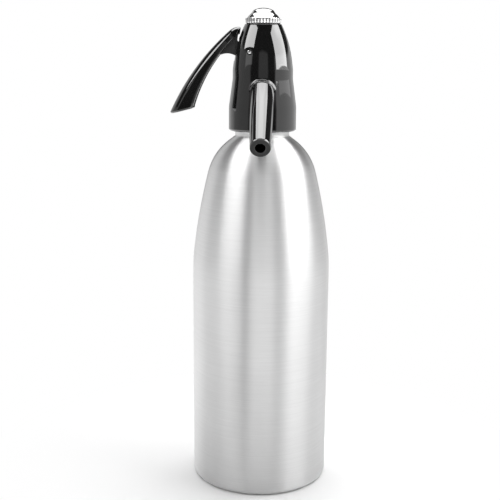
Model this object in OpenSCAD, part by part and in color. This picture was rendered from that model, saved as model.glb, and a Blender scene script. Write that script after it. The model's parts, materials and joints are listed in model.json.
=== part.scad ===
// Soda siphon: an aluminium bottle with a black screw-on head, a side lever and a drooping spout.
// Origin: centre of the ring that the bottle stands on. +Z is up, the spout points to -Y,
// the lever hangs at -X and the gas port is at +Y.

/* [Bottle] */
// Outside diameter of the straight wall
bottle_d = 90; // [84:1:96]
// Thickness of the wall
bottle_wall = 1.6; // [1.2:0.1:2.2]
// Height at which the straight wall starts to taper
straight_h = 147; // [120:1:160]
// Height at which the taper ends and the shoulder starts
shoulder_z = 204; // [190:1:208]
// Diameter at the start of the shoulder
shoulder_d = 70.8; // [66:0.2:76]
// How far the taper bulges beyond a straight cone
taper_bow = 1.1; // [0.4:0.1:2]
// How far the shoulder bulges beyond a straight cone
shoulder_bow = 2.9; // [2.5:0.1:4.5]
// Height of the top of the shoulder, where the neck starts
neck_z = 229.4; // [226:0.2:231]
// Outside diameter of the neck
neck_d = 34.6; // [33:0.1:36]
// Thickness of the neck's wall
neck_wall = 2; // [1.5:0.1:2.6]
// Height of the mouth above the top of the shoulder
neck_h = 11.6; // [10:0.1:14]
// Radius of the corner between wall and base
base_corner = 3.2; // [2:0.1:6]
// Diameter of the hollow under the base
punt_d = 72; // [60:1:78]
// Depth of the hollow under the base
punt_h = 5; // [2:0.5:8]

/* [Head] */
// Height of the head casing
head_h = 66.65; // [64:0.05:70]
// Diameter of the casing's skirt
head_base_d = 43.1; // [41:0.1:45]
// Diameter of the casing's waist
head_waist_d = 37.8; // [36.4:0.1:39]
// Diameter of the bulge above the waist
head_bulge_d = 38.3; // [37:0.1:40]
// Diameter of the casing's top face
head_top_d = 23; // [22:0.1:25]
// How far the casing bulges between bulge and top
head_bow = 1.47; // [0.8:0.01:2]
// How far the skirt reaches down past the mouth
skirt_depth = 8.35; // [7.5:0.05:9.5]
// Thickness of the metal ring that carries the neck's thread
ring_wall = 1.9; // [1.5:0.1:2.1]

/* [Cap] */
// Outside diameter of the cap's fluted ring
cap_d = 22.7; // [21:0.1:24]
// Height of the cap's fluted ring
cap_ring_h = 3.2; // [2.6:0.1:5]
// Height of the dome above the ring
dome_h = 5.4; // [3.5:0.1:6]
// Diameter of the blank plaque on the dome
plaque_d = 15; // [10:0.5:16]
// Thickness of the plaque
plaque_t = 0.9; // [0.4:0.1:1.4]
// Number of flutes round the cap
cap_flutes = 36; // [24:2:44]
// Outside diameter of the cap's threaded spigot
spigot_d = 16.6; // [15.6:0.1:17.4]
// Length of the cap's threaded spigot
spigot_h = 8; // [6:0.5:9]

/* [Lever] */
// Distance of the hinge pin from the head's axis
pivot_x = 8; // [7.4:0.1:8.6]
// Height of the hinge pin above the bottle's mouth
pivot_h = 41; // [40:0.1:42]
// Diameter of the hinge pin
pin_d = 2.8; // [2:0.1:3.4]
// Horizontal reach from the pin to the lever's tip
lever_reach = 51.2; // [46:0.2:56]
// Drop from the pin to the lever's tip
lever_drop = 37.4; // [32:0.1:39]
// Height of the lever's back above the pin
lever_rise = 15.3; // [13:0.1:16]
// How far the lever's back bows outwards
lever_bow = 3.7; // [2.5:0.05:5]
// How far the lever's belly bows outwards
belly_bow = 1.5; // [0.8:0.05:2.2]
// Width of the blade at its top
blade_top_w = 10.4; // [9.6:0.1:12]
// Width of the blade at its tip
blade_tip_w = 17; // [13:0.1:20]
// Thickness of the lever's web and hub
web_t = 8; // [7:0.1:8.6]
// Diameter of the hub round the pin
hub_d = 7.6; // [6.6:0.1:7.8]
// Diameter of the round nose on each fork prong
nose_d = 4; // [3:0.1:4.4]

/* [Valve] */
// Diameter of the valve stem
stem_d = 4; // [3:0.1:4.2]
// Diameter of the valve chamber
chamber_d = 12; // [11:0.1:12.6]
// Diameter of the valve body
body_d = 24; // [23.4:0.1:24.4]
// Height of the valve body's shoulder above the mouth
body_h = 27; // [26:0.1:28]
// Diameter of the poppet at the foot of the stem
poppet_d = 8.8; // [8:0.1:10]
// Wire diameter of the valve spring
spring_wire = 1.2; // [0.8:0.1:1.4]
// Mean diameter of the valve spring
spring_d = 8.4; // [7.6:0.1:9]
// Number of turns in the valve spring
spring_turns = 5; // [4:1:6]

/* [Tubes] */
// Outside diameter of the riser tube
riser_d = 8; // [7:0.1:9]
// Bore of the riser tube
riser_bore = 5.2; // [4:0.1:5.8]
// Gap between the riser tube's foot and the base
riser_gap = 4; // [2:0.5:12]
// Bore of the measuring tube
gauge_bore = 15.2; // [14.4:0.1:16]
// Wall of the measuring tube
gauge_wall = 1.2; // [0.8:0.1:1.6]
// Length of the measuring tube below the mouth
gauge_len = 36; // [24:1:48]

/* [Spout] */
// Angle by which the spout droops below level
spout_drop = 30; // [28:0.5:32]
// Height of the spout's root above the mouth
spout_h = 13.6; // [13.2:0.1:14.2]
// Length of the spout outside the casing
spout_len = 54.8; // [44:0.2:60]
// Diameter of the spout at its root
spout_root_d = 14.6; // [13.6:0.1:15]
// Diameter of the spout at its tip
spout_tip_d = 12.3; // [11:0.1:13.5]
// Bore of the spout
spout_bore = 6.2; // [5:0.1:7]

/* [Gas port] */
// Height of the gas port's axis above the mouth
port_h = 15; // [14:0.1:16]
// Diameter of the port's outer thread
port_d = 14; // [12.6:0.1:15]
// Length of the port's outer thread
port_len = 10; // [8:0.2:12]
// Outside diameter of the port's screw cap
port_cap_d = 19; // [18:0.1:21]
// Number of grip flutes round the port's cap
port_flutes = 12; // [8:1:16]

/* [Fits] */
// Radial clearance between parts that turn or slide on each other
run_clr = 0.06; // [0.03:0.01:0.1]
// Radial clearance between parts that are pressed, screwed or glued together
seat_clr = 0.04; // [0.02:0.01:0.08]
// Gap beside a part that swings
swing_gap = 0.3; // [0.2:0.05:0.4]
// Extra gap where the casing and the cap pass a thread or a spring freely
free_gap = 0.2; // [0.1:0.05:0.3]

/* [Hidden] */
$fn = 96;

// ---- heights along the axis, from the bottle up ----
mouth_z = neck_z + neck_h;
flange_t = 1.2;
gasket_t = 1.6;
gasket_rim = 4.5;
gasket_z = mouth_z + flange_t;
core_z = gasket_z + gasket_t;
core_flange_t = 1.8;
core_flange_d = neck_d - 1.8;
riser_oring_z = core_z - 8;
skirt_z = mouth_z - skirt_depth;
ring_z = skirt_z + 1;
casing_top = skirt_z + head_h;
core_top = mouth_z + body_h;
gland_h = 7;
gland_head_h = 1.6;
gland_z = core_top - 2.4;
groove_h = 1.8;
groove_depth = 1.6;
oring_wire = 1.4;
seat_z = mouth_z + 8.5;
seat_wall = 1;
chamber_z = seat_z - 2;
pivot_z = mouth_z + pivot_h;
washer_t = 0.5;
cap_z = casing_top + washer_t;

// ---- casing's outline ----
skirt_round = 1.2;
slot_round = 1.6;
blend_h = 14.6;
waist_h = 33.4;
bulge_h = 38.4;
function mix(a, b, t) = a + (b - a) * t;
function ease(t) = (1 - cos(180 * t)) / 2;
function head_r(h) =
    h < blend_h ? head_base_d / 2 :
    h < waist_h ? mix(head_base_d, head_waist_d, ease((h - blend_h) / (waist_h - blend_h))) / 2 :
    h < bulge_h ? mix(head_waist_d, head_bulge_d, ease((h - waist_h) / (bulge_h - waist_h))) / 2 :
    crown_r((h - bulge_h) / (head_h - bulge_h));
function crown_r(t) = mix(head_bulge_d, head_top_d, t) / 2 + 4 * head_bow * t * (1 - t);

// ---- curves ----
// Points after a, up to b, on an arc that bows by s to the right of the way from a to b
function arc(a, b, s, n) =
    let (d = b - a, len = norm(d), u = d / len, w = [u.y, -u.x])
    let (r = (len * len / 4 + s * s) / (2 * s), half = asin(len / 2 / r), c = (a + b) / 2 + w * (s - r))
    [for (i = [1 : n]) let (t = half * (2 * i / n - 1)) c + r * (w * cos(t) + u * sin(t))];
function arc_radius(a, b, s) = let (len = norm(b - a)) (len * len / 4 + s * s) / (2 * s);
function arc_centre(a, b, s) =
    let (d = b - a, u = d / norm(d)) (a + b) / 2 + [u.y, -u.x] * (s - arc_radius(a, b, s));
// Points round a corner with radius r and centre c, from angle a0 to a1
function corner(c, r, a0, a1, n) = [for (i = [0 : n]) let (t = mix(a0, a1, i / n)) c + r * [cos(t), sin(t)]];

// ---- lever's outline in the XZ plane, measured from the pin ----
back_top = [-11, lever_rise];
back_tip = [-lever_reach, -lever_drop];
belly_top = back_top + [-9, -18];
belly_tip = back_tip + [15.5, 4.1];
back_r = arc_radius(back_top, back_tip, lever_bow);
back_c = arc_centre(back_top, back_tip, lever_bow);
belly_r = arc_radius(belly_top, belly_tip, belly_bow);
belly_c = arc_centre(belly_top, belly_tip, belly_bow);
back_crown_r = 17;
belly_crown_r = 15;
press_angle = 15;

// ---- valve, spring and pin ----
pin_sink = 0.5;
pin_len = 2 * sqrt(pow(head_r(pivot_z - skirt_z), 2) - pow(pivot_x, 2)) - 2 * pin_sink;
collar_d = spring_d + spring_wire;
collar_t = 2;
collar_z = pivot_z + nose_d / 2 + swing_gap;
seal_t = 1.2;
tail_d = 2.6;
poppet_t = 1.8;
lift = pivot_x * press_angle * PI / 180;
spring_seat_z = cap_z - 0.8;
mech_d = spigot_d + 2 * seat_clr + 0.1;
guide_depth = 4;
stem_top = spring_seat_z + guide_depth - lift - 1.2;
spring_rise = spring_seat_z - collar_z - collar_t - spring_wire - 0.2;

// ---- spout's frame ----
spout_z = mouth_z + spout_h;
spout_y = head_r(spout_z - skirt_z) - 1;
spigot_r = 5;
spout_step = -4;
spout_foot = -10;
spout_boss_r = spout_root_d / 2 + 1;

// ---- gas port's frame ----
port_z = mouth_z + port_h;
port_boss_r = port_cap_d / 2 + 0.3;
port_face = head_r(port_h + skirt_depth) + 0.8;
port_stub_r = 5;
port_foot = chamber_d / 2 + 2.6;
port_flange_t = 1.2;
port_seal_t = 1;
port_roof_t = 2.4;
gas_way_d = 1.6;
pin_floor = 3;
pin_base_t = 1;
charger_bore = 9.4;
check_r = 1.6;
check_y = port_face - 4.4;
ball_y = check_y - 1.2;
spring_foot = port_foot + 0.7;

module spun(pts) rotate_extrude() polygon(pts);
module at_spout() translate([0, -spout_y, spout_z]) rotate([90 + spout_drop, 0, 0]) children();
module at_port() translate([0, 0, port_z]) rotate([-90, 0, 0]) children();
module across(d, len) rotate([90, 0, 0]) cylinder(d = d, h = len, center = true);
module ring(d, wire) rotate_extrude() translate([d / 2, 0]) circle(d = wire, $fn = 32);

// ================= bottle =================
// Outline of base, wall, taper and shoulder, moved in by the wall's thickness
function bottle_skin(in, up, neck_in) = concat(
    [[0, punt_h + up]],
    arc([0, punt_h + up], [punt_d / 2, up], -punt_h * 0.25, 10),
    corner([bottle_d / 2 - base_corner, base_corner], base_corner - in, -90, 0, 6),
    [[bottle_d / 2 - in, straight_h]],
    arc([bottle_d / 2 - in, straight_h], [shoulder_d / 2 - in, shoulder_z], taper_bow, 10),
    arc([shoulder_d / 2 - in, shoulder_z], [neck_d / 2 - neck_in + 1.4, neck_z - up], shoulder_bow, 14));

module bottle() color("lightgray") difference() {
    spun(concat(
        bottle_skin(0, 0, 0),
        corner([neck_d / 2 + 1.4, neck_z + 1.1], 1.4, -90 + 14, -180, 4),
        [[neck_d / 2, mouth_z], [0, mouth_z]]));
    spun(concat(
        bottle_skin(bottle_wall, bottle_wall, neck_wall + 1.4),
        [[neck_d / 2 - neck_wall, mouth_z + 1], [0, mouth_z + 1]]));
}

module measuring_tube() color("white") difference() {
    union() {
        translate([0, 0, mouth_z - gauge_len]) cylinder(d = gauge_bore + 2 * gauge_wall, h = gauge_len + 0.2);
        translate([0, 0, mouth_z]) cylinder(d = core_flange_d, h = flange_t);
    }
    translate([0, 0, mouth_z - gauge_len - 1]) cylinder(d = gauge_bore, h = gauge_len + flange_t + 2);
    for (i = [0 : 2]) rotate(i * 120 + 30) translate([gauge_bore / 2 + gauge_wall + 2.4, 0, mouth_z - 1])
        cylinder(d = 3, h = flange_t + 2, $fn = 24);
}

// ================= head =================
module casing_blank() {
    steps = 34;
    spun(concat(
        [[0, skirt_z], [head_base_d / 2 - skirt_round, skirt_z]],
        corner([head_base_d / 2 - skirt_round, skirt_z + skirt_round], skirt_round, -60, 0, 3),
        [for (i = [0 : steps]) let (h = mix(blend_h, head_h, i / steps)) [head_r(h), skirt_z + h]],
        [[0, casing_top]]));
}

module rounded_slot(w, h, len) {
    r = slot_round;
    rotate([90, 0, 90]) linear_extrude(len) union() {
        translate([-w / 2 + r, -h / 2]) square([w - 2 * r, h]);
        translate([-w / 2, -h / 2 + r]) square([w, h - 2 * r]);
        for (x = [-1, 1], y = [-1, 1]) translate([x * (w / 2 - r), y * (h / 2 - r)]) circle(r, $fn = 32);
    }
}

module head_casing() color([0.05, 0.05, 0.05]) {
    slot_low = pivot_z - 5.6;
    slot_high = pivot_z + 8;
    slot_w = web_t + 2 * swing_gap;
    difference() {
        union() {
            casing_blank();
            // lip over the spout's root
            at_spout() translate([0, 0, spout_foot + 2]) cylinder(r = spout_boss_r, h = 4.7);
            // flat seat behind the gas port
            at_port() translate([0, 0, port_face - 8]) cylinder(r = port_boss_r, h = 8);
        }
        // thread ring, mouth and core
        translate([0, 0, skirt_z - 1]) cylinder(d = neck_d + 2 * run_clr + free_gap, h = 4);
        translate([0, 0, ring_z])
            cylinder(d = neck_d + 2 * (run_clr + ring_wall + seat_clr), h = mouth_z - ring_z);
        translate([0, 0, mouth_z - 1]) cylinder(d = core_flange_d + 2 * seat_clr + 3 * free_gap,
            h = core_z + core_flange_t - mouth_z + 1);
        translate([0, 0, mouth_z]) cylinder(d = body_d + 2 * seat_clr, h = core_top - mouth_z + 0.1);
        translate([0, 0, core_top - 1]) cylinder(d = mech_d, h = casing_top - core_top + 2);
        // lever's slot, from outside to the middle
        translate([-head_base_d, 0, (slot_low + slot_high) / 2])
            rounded_slot(slot_w, slot_high - slot_low, head_base_d);
        // pin's hole and the recess round each of its ends
        translate([-pivot_x, 0, pivot_z]) across(pin_d + 2 * seat_clr, head_base_d);
        for (s = [-1, 1]) translate([-pivot_x, s * (pin_len / 2 + 5), pivot_z]) across(pin_d + 1, 10);
        // spout's socket
        at_spout() translate([0, 0, spout_step - seat_clr]) cylinder(d = spout_root_d + 2 * seat_clr, h = 20);
        at_spout() translate([0, 0, spout_foot - 2]) cylinder(r = spigot_r + seat_clr, h = 12);
        // gas port's hole and the flat faced off round it
        at_port() cylinder(r = port_stub_r + seat_clr, h = head_base_d);
        at_port() translate([0, 0, port_face]) cylinder(r = port_boss_r, h = head_base_d);
    }
}

module neck_thread_ring() color("silver") translate([0, 0, ring_z + seat_clr]) difference() {
    h = mouth_z - ring_z - 2 * seat_clr;
    cylinder(d = neck_d + 2 * (run_clr + ring_wall), h = h);
    translate([0, 0, -1]) cylinder(d = neck_d + 2 * run_clr, h = h + 2);
}

module head_gasket() color([0.2, 0.2, 0.2]) translate([0, 0, gasket_z]) difference() {
    cylinder(d = core_flange_d, h = gasket_t);
    translate([0, 0, -1]) cylinder(d = core_flange_d - 2 * gasket_rim, h = gasket_t + 2);
}

// Turned core: stub for the riser, flange on the gasket, valve seat and chamber, side ports
module valve_body() color("gainsboro") {
    stub_h = 11;
    difference() {
        union() {
            translate([0, 0, core_z - stub_h]) cylinder(d = riser_d + 4.4, h = stub_h + 1);
            translate([0, 0, core_z]) cylinder(d = core_flange_d, h = core_flange_t);
            translate([0, 0, core_z]) cylinder(d = body_d, h = core_top - core_z);
        }
        translate([0, 0, chamber_z]) cylinder(d = chamber_d, h = core_top - chamber_z + 1);
        translate([0, 0, core_z - stub_h - 1]) cylinder(d = riser_d + 2 * seat_clr, h = stub_h);
        translate([0, 0, core_z - stub_h]) cylinder(d = riser_bore, h = seat_z - core_z + stub_h);
        translate([0, 0, riser_oring_z]) cylinder(d = riser_d + 2 * groove_depth, h = groove_h, center = true);
        at_spout() translate([0, 0, spout_foot - seat_clr]) cylinder(r = spigot_r + seat_clr, h = 14);
        at_spout() translate([0, 0, spout_foot - 6.2]) cylinder(d = spout_bore - 0.6, h = 8);
        at_port() translate([0, 0, port_foot]) cylinder(r = port_stub_r + seat_clr, h = 8);
        // gas way down to the bottle
        translate([0, port_foot + 1.4, core_z - 1]) cylinder(d = gas_way_d, h = port_z - core_z, $fn = 24);
    }
    // raised seat ring in the chamber's floor
    translate([0, 0, chamber_z - 0.4]) difference() {
        cylinder(d = riser_bore + 2 * seat_wall, h = seat_z - chamber_z + 0.4);
        translate([0, 0, -1]) cylinder(d = riser_bore, h = 4);
    }
}

// Threaded plug that closes the chamber and guides the stem
module gland_plug() color("silver") difference() {
    union() {
        translate([0, 0, core_top - gland_h]) cylinder(d = chamber_d - 2 * seat_clr, h = gland_h);
        translate([0, 0, core_top]) cylinder(d = mech_d - 1, h = gland_head_h);
    }
    translate([0, 0, core_top - gland_h - 1]) cylinder(d = stem_d + 2 * run_clr, h = gland_h + 4);
    translate([0, 0, gland_z]) cylinder(d = stem_d + 2 * groove_depth, h = groove_h, center = true);
    // two holes for the fitting key
    for (s = [-1, 1]) translate([0, s * 5.2, core_top + 0.6]) cylinder(d = 1.4, h = 2, $fn = 24);
}

module stem_oring() color([0.2, 0.2, 0.2]) translate([0, 0, gland_z]) ring(stem_d + 2 * run_clr + oring_wire + 0.1, oring_wire);

module riser_tube() color("white") {
    low = punt_h + bottle_wall + riser_gap;
    top = core_z - 1 - seat_clr;
    difference() {
        translate([0, 0, low]) cylinder(d = riser_d, h = top - low);
        translate([0, 0, low - 1]) cylinder(d = riser_bore, h = top - low + 2);
        // notches that keep the foot open
        for (a = [0, 90]) rotate(a) translate([0, 0, low]) across(3, riser_d + 2);
    }
}

module riser_oring() color([0.2, 0.2, 0.2]) translate([0, 0, riser_oring_z]) ring(riser_d + groove_depth, oring_wire);

module spout_tube() color([0.05, 0.05, 0.05]) at_spout() difference() {
    tip_round = 1;
    groove_r = spigot_r - 1.2;
    groove_end = spout_foot + 2.8;
    rotate_extrude() polygon(concat(
        [[0, spout_foot], [groove_r, spout_foot], [groove_r, spout_foot + 0.8]],
        [[spigot_r, spout_foot + 0.8], [spigot_r, spout_foot + 1]],
        [[groove_r, spout_foot + 1], [groove_r, groove_end], [spigot_r, groove_end]],
        [[spigot_r, spout_step], [spout_root_d / 2, spout_step]],
        corner([spout_tip_d / 2 - tip_round, spout_len - tip_round], tip_round, 0, 90, 5),
        [[0, spout_len]]));
    translate([0, 0, spout_foot - 1]) cylinder(d = spout_bore, h = spout_len - spout_foot + 2);
}

module spout_oring() color([0.2, 0.2, 0.2])
    at_spout() translate([0, 0, spout_foot + 1.9]) ring(2 * spigot_r - 1.25, 1.1);

// ================= gas port =================
module port_nipple() color("goldenrod") at_port() difference() {
    union() {
        translate([0, 0, port_foot + seat_clr]) cylinder(r = port_stub_r, h = port_face - port_foot);
        translate([0, 0, port_face + seat_clr]) cylinder(d = port_d + 2, h = port_flange_t);
        translate([0, 0, port_face + seat_clr]) cylinder(d = port_d, h = port_len);
    }
    translate([0, 0, port_face + pin_floor]) cylinder(d = charger_bore, h = port_len);
    cylinder(d = gas_way_d, h = port_face + 4, $fn = 24);
    cylinder(r = check_r + 0.3, h = check_y + 0.6);
}

module piercing_pin() color("silver") at_port() translate([0, 0, port_face + pin_floor + seat_clr]) difference() {
    base_r = charger_bore / 2 - 0.1;
    spun([[0, 0], [base_r, 0], [base_r, pin_base_t], [1.1, pin_base_t], [0.9, 3.6], [0.3, 5], [0, 5]]);
    translate([0, 0, -1]) cylinder(d = 0.6, h = 4.5, $fn = 24);
}

module charger_seal() color([0.2, 0.2, 0.2]) at_port()
    translate([0, 0, port_face + pin_floor + pin_base_t + 2 * seat_clr]) difference() {
        cylinder(d = charger_bore - 0.2, h = 1.6);
        translate([0, 0, -1]) cylinder(d = 3.4, h = 4);
    }

module check_ball() color("silver") at_port() translate([0, 0, ball_y]) sphere(check_r);

// One unbroken wire: rings of six points set square to the helix
function coil_point(r, rise, turns, t) = [r * cos(360 * turns * t), r * sin(360 * turns * t), rise * t];
function coil_ring(r, rise, turns, t, wire_r) =
    let (a = 360 * turns * t, out = [cos(a), sin(a), 0])
    let (go = [-sin(a) * r * 2 * PI * turns, cos(a) * r * 2 * PI * turns, rise])
    let (along = go / norm(go), side = cross(along, out), c = coil_point(r, rise, turns, t))
    [for (k = [0 : 5]) c + wire_r * (out * cos(60 * k) + side * sin(60 * k))];
module coil(d, rise, turns, wire) {
    n = 8 * turns;
    pts = [for (i = [0 : n], p = coil_ring(d / 2, rise, turns, i / n, wire / 2)) p];
    polyhedron(pts, concat(
        [for (k = [1 : 4]) [0, k, k + 1]],
        [for (i = [0 : n - 1], k = [0 : 5]) [6 * i + k, 6 * (i + 1) + k, 6 * i + (k + 1) % 6]],
        [for (i = [0 : n - 1], k = [0 : 5])
            [6 * i + (k + 1) % 6, 6 * (i + 1) + k, 6 * (i + 1) + (k + 1) % 6]],
        [for (k = [1 : 4]) [6 * n, 6 * n + k + 1, 6 * n + k]]));
}

module check_spring() color("silver") at_port() translate([0, 0, spring_foot])
    coil(2.6, ball_y - check_r - spring_foot - 0.6, 3, 0.5);

// ================= lever =================
module lever_pin() color("silver") translate([-pivot_x, 0, pivot_z]) across(pin_d, pin_len);

// Ring swept round the axis through c, from the inner to the outer line of points [radius, y]
module sweep(c, line, far) translate([c.x, 0, c.y]) rotate([90, 0, 0])
    spun(concat(line, [[far, blade_tip_w], [far, -blade_tip_w]]));
function crowned(r, crown_r) =
    [for (i = [-6 : 6]) let (y = blade_tip_w * i / 12) [r - crown_r + sqrt(crown_r * crown_r - y * y), y]];
function hollowed(r, crown_r) =
    [for (i = [-6 : 6]) let (y = blade_tip_w * i / 12) [r + crown_r - sqrt(crown_r * crown_r - y * y), y]];

module blade() intersection() {
    sweep(back_c, concat([[back_r - 40, -blade_tip_w]], crowned(back_r, back_crown_r)), back_r - 40);
    sweep(belly_c, hollowed(belly_r, belly_crown_r), belly_r + 40);
    blade_plan();
    blade_side();
}

// The blade's outline seen from outside: wider towards a round-cornered tip
module blade_plan() {
    r = 4;
    top = lever_rise + 6;
    low = -lever_drop - 4;
    w0 = blade_top_w / 2;
    w1 = blade_tip_w / 2;
    translate([-lever_reach - 20, 0, 0]) rotate([90, 0, 90]) linear_extrude(lever_reach + 20) polygon(concat(
        [[-w0, top], [w0, top], [w0, 4]],
        corner([w1 - r, low + r], r, 0, -90, 5),
        corner([r - w1, low + r], r, -90, -180, 5),
        [[-w0, 4]]));
}

// The blade's outline seen from the side, without its back and belly
module blade_side() rotate([90, 0, 0]) linear_extrude(blade_tip_w + 4, center = true) polygon([
    [-6.4, lever_rise + 0.8], [-6.8, 13.4], [-8.1, 10.6], [-8.5, 7.4], [-9, 0], belly_tip + [8, 2],
    belly_tip + [0.2, 0.2], belly_tip + [-0.5, -0.9], belly_tip + [-1.6, -1.6],
    back_tip + [1.9, -1.7], back_tip + [0.9, -1.9], back_tip + [0, -1.5], back_tip + [-0.4, -0.7],
    back_tip + [-20, 6], [-lever_reach, lever_rise + 20], [-12, lever_rise + 1.2]]);

// Flat web that joins the blade to the hub
module web() rotate([90, 0, 0]) linear_extrude(web_t, center = true) polygon(concat(
    [[-7.5, 11.6], [-8.1, 10.6], [-8.5, 7.4], [-6, 5], [0, hub_d / 2 - 0.3], [0, 0.3 - hub_d / 2]],
    [[-9.5, -2.2]],
    arc([-9.5, -2.2], belly_top + [1, 1], 1.1, 6),
    [belly_top + [-2.4, 2], [-20, 4], [-13.4, 10]]));

module lever() color([0.05, 0.05, 0.05]) translate([-pivot_x, 0, pivot_z]) difference() {
    union() {
        blade();
        web();
        across(hub_d, web_t);
        // fork that straddles the stem
        translate([0, 0, -1.5]) translate([0, -web_t / 2, 0]) cube([pivot_x, web_t, 3]);
        translate([pivot_x, 0, 0]) across(nose_d, web_t);
    }
    across(pin_d + 2 * run_clr, web_t + 2);
    translate([pivot_x, 0, -6]) cylinder(d = stem_d + 2 * swing_gap, h = 12);
    translate([pivot_x, -stem_d / 2 - swing_gap, -6]) cube([6, stem_d + 2 * swing_gap, 12]);
}

// ================= valve =================
module valve_stem() color("silver") {
    foot = seat_z + seal_t;
    translate([0, 0, foot]) cylinder(d = poppet_d, h = poppet_t);
    translate([0, 0, foot]) cylinder(d = stem_d, h = stem_top - foot);
    translate([0, 0, foot - 0.9]) cylinder(d = tail_d, h = 1.4);
}

module valve_seal() color([0.2, 0.2, 0.2]) translate([0, 0, seat_z]) difference() {
    cylinder(d = poppet_d, h = seal_t);
    translate([0, 0, -1]) cylinder(d = tail_d + 2 * seat_clr, h = seal_t + 2);
}

module stem_collar() color("silver") translate([0, 0, collar_z]) difference() {
    cylinder(d = collar_d, h = collar_t);
    translate([0, 0, -1]) cylinder(d = stem_d + 2 * seat_clr, h = collar_t + 2);
}

module valve_spring() color("silver") translate([0, 0, collar_z + collar_t + spring_wire / 2 + 0.1])
    coil(spring_d, spring_rise, spring_turns, spring_wire);

// ================= caps =================
module top_cap() color("whitesmoke") {
    dome_r = cap_d / 2 - 1;
    ring_top = cap_z + cap_ring_h;
    sphere_r = (dome_r * dome_r + dome_h * dome_h) / (2 * dome_h);
    flute_r = PI * cap_d / cap_flutes / 3.4;
    difference() {
        union() {
            spun(concat(
                [[0, cap_z - spigot_h], [spigot_d / 2, cap_z - spigot_h], [spigot_d / 2, cap_z]],
                [[cap_d / 2 - 0.3, cap_z], [cap_d / 2, cap_z + 0.3], [cap_d / 2, ring_top - 0.4]],
                [[cap_d / 2 - 0.4, ring_top], [0, ring_top]]));
            // dome and its blank plaque
            intersection() {
                translate([0, 0, ring_top + dome_h - sphere_r]) sphere(sphere_r);
                translate([0, 0, ring_top - 0.2]) cylinder(r = dome_r, h = dome_h + 1);
            }
            intersection() {
                translate([0, 0, ring_top + dome_h - sphere_r]) sphere(sphere_r + plaque_t);
                translate([0, 0, ring_top + 0.2]) cylinder(d = plaque_d, h = dome_h + 2);
            }
        }
        translate([0, 0, cap_z - spigot_h - 1])
            cylinder(d = spring_d + spring_wire + 0.8, h = spring_seat_z - cap_z + spigot_h + 1);
        translate([0, 0, spring_seat_z - 1]) cylinder(d = stem_d + 0.2, h = guide_depth + 1);
        for (i = [0 : cap_flutes - 1]) rotate(i * 360 / cap_flutes)
            translate([cap_d / 2 + 0.12, 0, cap_z - 1]) cylinder(r = flute_r, h = cap_ring_h + 2, $fn = 24);
    }
}

module cap_washer() color([0.1, 0.1, 0.1]) translate([0, 0, casing_top]) difference() {
    cylinder(d = cap_d - 1.5, h = washer_t);
    translate([0, 0, -1]) cylinder(d = spigot_d + 2 * seat_clr, h = washer_t + 2);
}

module port_cap() color([0.05, 0.05, 0.05]) at_port() {
    low = port_face + port_flange_t + 0.3;
    top = port_face + port_len + port_seal_t + port_roof_t;
    flute_r = 1.3;
    difference() {
        spun(concat(
            [[0, low], [port_cap_d / 2 - 0.4, low], [port_cap_d / 2, low + 0.4]],
            corner([port_cap_d / 2 - 1.6, top - 1.6], 1.6, 0, 90, 4),
            [[0, top]]));
        translate([0, 0, low - 1]) cylinder(d = port_d + 2 * run_clr, h = port_face + port_len + port_seal_t - low + 1);
        for (i = [0 : port_flutes - 1]) rotate((i + 0.5) * 360 / port_flutes)
            translate([port_cap_d / 2 + 0.7, 0, low - 1]) cylinder(r = flute_r, h = top, $fn = 24);
    }
}

module port_cap_seal() color([0.2, 0.2, 0.2]) at_port() translate([0, 0, port_face + port_len + seat_clr])
    difference() {
        cylinder(d = port_d - 0.4, h = port_seal_t - seat_clr);
        translate([0, 0, -1]) cylinder(d = 5, h = 3);
    }

bottle();
measuring_tube();
head_casing();
neck_thread_ring();
head_gasket();
valve_body();
gland_plug();
stem_oring();
riser_tube();
riser_oring();
spout_tube();
spout_oring();
port_nipple();
piercing_pin();
charger_seal();
check_ball();
check_spring();
lever_pin();
valve_spring();
lever();
valve_stem();
valve_seal();
stem_collar();
top_cap();
cap_washer();
port_cap();
port_cap_seal();
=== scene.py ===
import json
import math
import bmesh
import bpy
import numpy as np
from mathutils import Matrix, Vector


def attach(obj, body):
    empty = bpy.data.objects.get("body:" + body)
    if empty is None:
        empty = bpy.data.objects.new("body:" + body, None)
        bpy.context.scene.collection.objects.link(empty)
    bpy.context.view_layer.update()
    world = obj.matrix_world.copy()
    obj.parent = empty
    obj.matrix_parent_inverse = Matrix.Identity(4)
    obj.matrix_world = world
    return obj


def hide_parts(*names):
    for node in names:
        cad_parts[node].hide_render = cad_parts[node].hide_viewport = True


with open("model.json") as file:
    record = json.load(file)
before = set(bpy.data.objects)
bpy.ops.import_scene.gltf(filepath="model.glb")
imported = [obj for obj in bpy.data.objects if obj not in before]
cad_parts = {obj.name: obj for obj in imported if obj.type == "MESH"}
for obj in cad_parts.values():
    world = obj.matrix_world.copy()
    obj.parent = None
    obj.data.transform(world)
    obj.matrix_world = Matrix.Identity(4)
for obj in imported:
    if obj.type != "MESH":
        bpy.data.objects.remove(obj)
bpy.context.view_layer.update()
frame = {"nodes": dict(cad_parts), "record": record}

MM = 0.001
NODES = frame["nodes"]

# ---- sizes in millimetres, shared with the solids where these have the same form ----
MOUTH_Z = 241.0  # top of the bottle's neck
SKIRT_Z, HEAD_H = 232.65, 66.65
CASING_TOP = SKIRT_Z + HEAD_H
# the casing's diameters, and the heights over its lower edge where flare, waist and crown start
BASE_D, WAIST_D, TOP_D = 43.1, 38.3, 23.0
FLARE_H, WAIST_H, CROWN_H = 14.0, 34.0, 38.4
CROWN_BOW, CROWN_FALL = 1.6, 2.2
SEAT_Z0, SEAT_Z1 = 243, 270  # between these the seats of spout and port stand out of the casing
# the lever's pin, as x and z of its axis
PIVOT, PIN_R = (-8.0, 282.0), 1.4
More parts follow.
